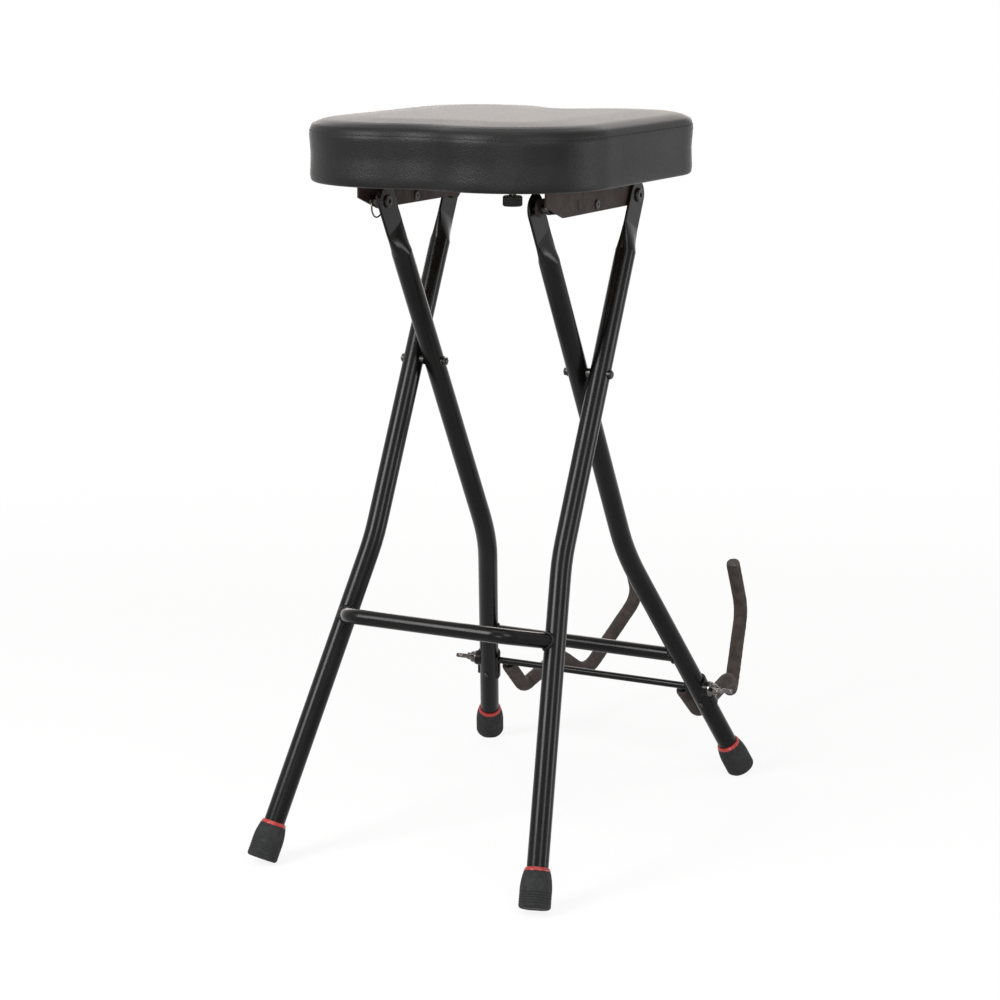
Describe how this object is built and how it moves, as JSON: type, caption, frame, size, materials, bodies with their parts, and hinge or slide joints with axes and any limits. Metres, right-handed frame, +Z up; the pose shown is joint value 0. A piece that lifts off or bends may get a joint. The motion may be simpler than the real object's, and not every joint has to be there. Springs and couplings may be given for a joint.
{
  "type": "folding guitar stool",
  "caption": "Folding stool with a padded seat notched for a guitar's neck, a footrest, crossed tube legs and a fold-out padded cradle that holds a guitar behind it.",
  "frame": {"origin": "on the floor, below the middle of the stool's outline", "axes": "+Z up, -Y towards the front where the sitter's feet go, +X to the right seen from the front"},
  "size_m": [0.3586, 0.7614, 0.7698],
  "materials": {
    "tube_paint": "gloss black powder coat",
    "bracket_paint": "satin dark grey paint",
    "foot_rubber": "matte, finely ribbed",
    "ring_plastic": "gloss red",
    "dark_fasteners": "black plated steel",
    "ring_wire": "dark bright wire",
    "nut_plating": "dark bright plating",
    "seat_vinyl": "black pebble-grained vinyl, satin",
    "seat_padding": "open-cell foam",
    "seat_wood": "plain plywood",
    "sleeve_foam": "matte closed-cell foam"
  },
  "bodies": {
    "front_frame": {"front_leg_left": "tube_paint", "front_leg_right": "tube_paint", "footrest_bar": "tube_paint", "front_foot_left": "foot_rubber", "front_foot_right": "foot_rubber", "front_foot_rings": "ring_plastic", "scissor_bolts": "dark_fasteners", "scissor_nuts": "dark_fasteners", "scissor_head_washers": "dark_fasteners", "scissor_spacers": "dark_fasteners", "seat_hinge_bolts": "dark_fasteners", "seat_hinge_nuts": "dark_fasteners", "seat_hinge_washers": "dark_fasteners"},
    "rear_frame": {"rear_leg_left": "tube_paint", "rear_leg_right": "tube_paint", "rear_crossbar": "tube_paint", "rear_foot_left": "foot_rubber", "rear_foot_right": "foot_rubber", "rear_foot_rings": "ring_plastic", "scissor_nut_washers": "dark_fasteners", "hook_studs": "dark_fasteners", "rod_saddle_left": "tube_paint", "rod_saddle_right": "tube_paint", "saddle_rivets": "dark_fasteners"},
    "seat": {"seat_board": "seat_wood", "seat_foam": "seat_padding", "seat_cover": "seat_vinyl", "seat_bracket_left": "bracket_paint", "seat_bracket_right": "bracket_paint", "bracket_screws": "dark_fasteners", "latch_plate_left": "bracket_paint", "latch_plate_right": "bracket_paint", "latch_rivets": "dark_fasteners", "seat_bumper": "foot_rubber", "bumper_stud": "dark_fasteners"},
    "cradle": {"cradle_rod": "tube_paint", "cradle_arm_left": "tube_paint", "cradle_arm_right": "tube_paint", "arm_sleeve_left": "sleeve_foam", "arm_sleeve_right": "sleeve_foam"},
    "wing_nut_left": {"wing_nut_left": "nut_plating"},
    "wing_nut_right": {"wing_nut_right": "nut_plating"},
    "keeper_ring": {"keeper_ring": "ring_wire"}
  },
  "joints": [
    {"name": "frame_fold", "type": "hinge", "parent": "front_frame", "child": "rear_frame", "pos_m": [0, -0.12432, 0.503], "axis": [-1, 0, 0], "range_deg": [0, 50]},
    {"name": "seat_fold", "type": "hinge", "parent": "front_frame", "child": "seat", "pos_m": [0, -0.03701, 0.682], "axis": [-1, 0, 0], "range_deg": [0, 100]},
    {"name": "cradle_fold", "type": "hinge", "parent": "rear_frame", "child": "cradle", "pos_m": [0, 0.09539, 0.11308], "axis": [1, 0, 0], "range_deg": [0, 95]},
    {"name": "wing_nut_left_turn", "type": "hinge", "parent": "cradle", "child": "wing_nut_left", "pos_m": [-0.15, 0.09539, 0.11308], "axis": [-1, 0, 0], "continuous": true},
    {"name": "wing_nut_right_turn", "type": "hinge", "parent": "cradle", "child": "wing_nut_right", "pos_m": [0.15, 0.09539, 0.11308], "axis": [1, 0, 0], "continuous": true},
    {"name": "keeper_ring_swing", "type": "hinge", "parent": "rear_frame", "child": "keeper_ring", "pos_m": [-0.097, -0.22518, 0.682], "axis": [1, 0, 0], "range_deg": [-60, 60]}
  ],
  "couplings": [
    {"joint": "seat_fold", "follows": "frame_fold", "ratio": 2}
  ]
}
